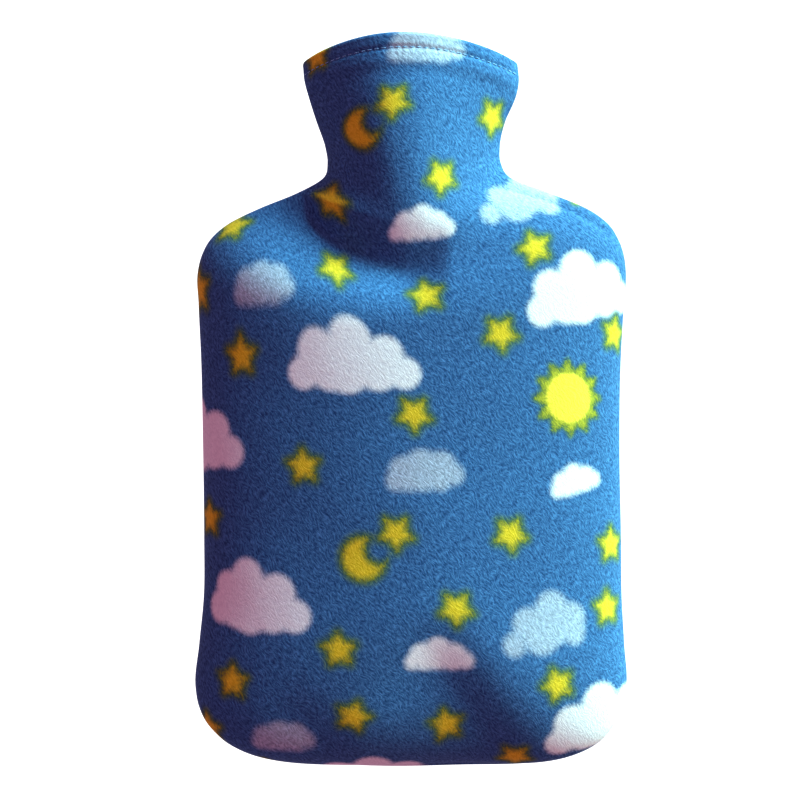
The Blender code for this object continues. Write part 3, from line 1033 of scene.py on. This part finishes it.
def fleece_reverse():
    """The same fleece's inner face, where the dye hasn't gone through.  It gives the eye a
    paler, plainer blue with a fluffier nap, whose blue is deeper in the nap's hollows, where
    the bump is low, as painted shade."""
    material, tree, shader = new_material("fleece_reverse")
    place = add_node(tree, "TexCoord").outputs["Object"]
    nap = add_node(tree, "TexNoise", {"Vector": place, "Scale": 1.0 / (NAP * MM), "Detail": 3.0}).outputs[0]
    # The nap's noise sets both the bump's height and the blue, so the deeper blue in its hollows is painted
    # shade
    colour = add_node(tree, "Mix", {MIX_SHARE: nap, MIX_UNDER: linear(REVERSE_DEEP),
                                    MIX_OVER: linear(REVERSE_LIGHT)}, data_type="RGBA")
    tree.links.new(colour.outputs[MIX_COLOUR], shader.inputs["Base Color"])
    bump = add_node(tree, "Bump", {"Height": nap, "Strength": 1.0, "Distance": NAP_RELIEF * MM})
    tree.links.new(bump.outputs[0], shader.inputs["Normal"])
    shader.inputs["Roughness"].default_value = 0.95
    shader.inputs["Specular IOR Level"].default_value = 0.15
    shader.inputs["Sheen Weight"].default_value = 0.25
    return material


def sewing_thread():
    """Spun polyester sewing thread in the cloth's blue.  It gives the eye a tight twist with
    a faint lustre; the twist is painted in, as darker bands of painted shade in its grooves and lighter
    bands of painted light on its plies."""
    material, tree, shader = new_material("polyester_sewing_thread")
    place = add_node(tree, "TexCoord").outputs["Object"]
    # Painted shade and light of the twist: bands deep in its grooves and light on its plies, with no bump
    twist = add_node(tree, "TexWave", {"Vector": place, "Scale": 1.0 / (TWIST * MM), "Distortion": 0.5},
                     bands_direction="DIAGONAL").outputs[1]
    colour = add_node(tree, "Mix", {MIX_SHARE: twist, MIX_UNDER: linear(THREAD_DEEP),
                                    MIX_OVER: linear(THREAD_LIGHT)}, data_type="RGBA")
    tree.links.new(colour.outputs[MIX_COLOUR], shader.inputs["Base Color"])
    shader.inputs["Roughness"].default_value = 0.6
    shader.inputs["Sheen Weight"].default_value = 0.1
    return material


# ---------------- stage, light and camera

def make_floor():
    """A wide pale floor under the cover."""
    mesh = bmesh.new()
    bmesh.ops.create_grid(mesh, x_segments=1, y_segments=1, size=FLOOR_SIZE / 2.0)
    material, _, shader = new_material("pale_paper")
    shader.inputs["Base Color"].default_value = linear(FLOOR_COLOUR)
    shader.inputs["Roughness"].default_value = 1.0
    shader.inputs["Emission Color"].default_value = linear(GLOW_COLOUR)
    shader.inputs["Emission Strength"].default_value = FLOOR_GLOW
    floor = finish_piece("floor", mesh, [material])
    floor.visible_diffuse = False


def add_sun(name, colour, strength, spread, turn, rise):
    """A broad soft light from that direction round the cover and height above the floor."""
    data = bpy.data.lights.new(name, "SUN")
    data.color = linear(colour)[:3]
    data.energy = strength
    data.angle = radians(spread)
    lamp = bpy.data.objects.new(name, data)
    bpy.context.scene.collection.objects.link(lamp)
    level = cos(radians(rise))
    way = Vector((cos(radians(turn)) * level, sin(radians(turn)) * level, sin(radians(rise))))
    lamp.rotation_euler = way.to_track_quat("Z", "Y").to_euler()


def make_world():
    """A soft fill from all round, which the camera sees as a pale backdrop."""
    world = bpy.data.worlds.new("studio")
    bpy.context.scene.world = world
    world.use_nodes = True
    tree = world.node_tree
    fill = tree.nodes["Background"]
    fill.inputs["Color"].default_value = linear(FILL_COLOUR)
    fill.inputs["Strength"].default_value = FILL_STRENGTH
    backdrop = add_node(tree, "Background", {"Color": linear(BACKDROP_COLOUR), "Strength": 1.0})
    seen = add_node(tree, "LightPath").outputs["Is Camera Ray"]
    surround = add_node(tree, "MixShader", {0: seen, 1: fill.outputs[0], 2: backdrop.outputs[0]})
    tree.links.new(surround.outputs[0], tree.nodes["World Output"].inputs["Surface"])


def make_camera():
    """Straight above, as the cover lies, at the height that gives the photograph's scale."""
    data = bpy.data.cameras.new("camera")
    data.lens = CAMERA_LENS
    data.sensor_width = CAMERA_SENSOR
    camera = bpy.data.objects.new("camera", data)
    camera.location = Vector(CAMERA_AT) * MM
    bpy.context.scene.collection.objects.link(camera)
    bpy.context.scene.camera = camera


def main():
    """Sets the stage, then makes the two panels and their hems' sewing."""
    make_camera()
    make_world()
    make_floor()
    add_sun("window_light", KEY_COLOUR, KEY_STRENGTH, KEY_SPREAD, KEY_TURN, KEY_RISE)
    add_sun("low_light", LOW_COLOUR, LOW_STRENGTH, LOW_SPREAD, LOW_TURN, LOW_RISE)
    bpy.context.scene.view_settings.view_transform = "Standard"
    bpy.context.scene.view_settings.look = "High Contrast"
    fleece = [polyester_fleece(), fleece_reverse()]
    thread = sewing_thread()
    for panel, shift in ((FRONT, FRONT_SHIFT), (BACK, BACK_SHIFT)):
        cover, face, (width, length, area) = make_panel(panel, shift, fleece)
        stitches = make_stitches(panel.name.replace("panel", "hem_stitches"), panel, face, thread)
        for piece in (cover, stitches):
            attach(piece, "root")
        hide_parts(panel.name)


main()
